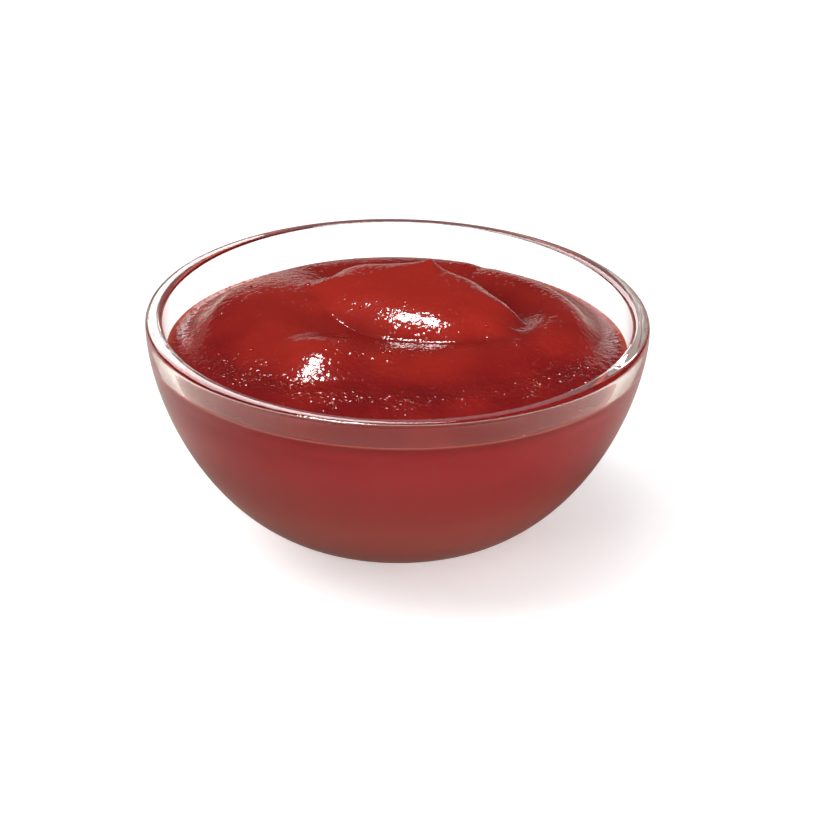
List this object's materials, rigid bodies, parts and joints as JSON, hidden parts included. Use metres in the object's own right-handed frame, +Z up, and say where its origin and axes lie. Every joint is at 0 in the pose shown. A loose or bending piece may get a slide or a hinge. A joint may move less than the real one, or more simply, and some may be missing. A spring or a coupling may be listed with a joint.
{
  "type": "bowl of hot sauce",
  "caption": "Small round clear glass bowl on a flat foot, filled nearly to its rim with thick red hot sauce whose glossy top is swirled into a soft mound with a small peak.",
  "frame": {"origin": "centre of the bowl's foot, on the surface it stands on", "axes": "+Z up, the turned bowl's axis; +Y points from the viewer's side to the back, where the swirl's peak stands"},
  "size_m": [0.105, 0.105, 0.0495],
  "materials": {
    "glass": "clear, fire-polished",
    "sauce": "wet and glossy, with fine pulp"
  },
  "bodies": {
    "root": {"bowl": "glass", "sauce": "sauce"}
  },
  "joints": []
}
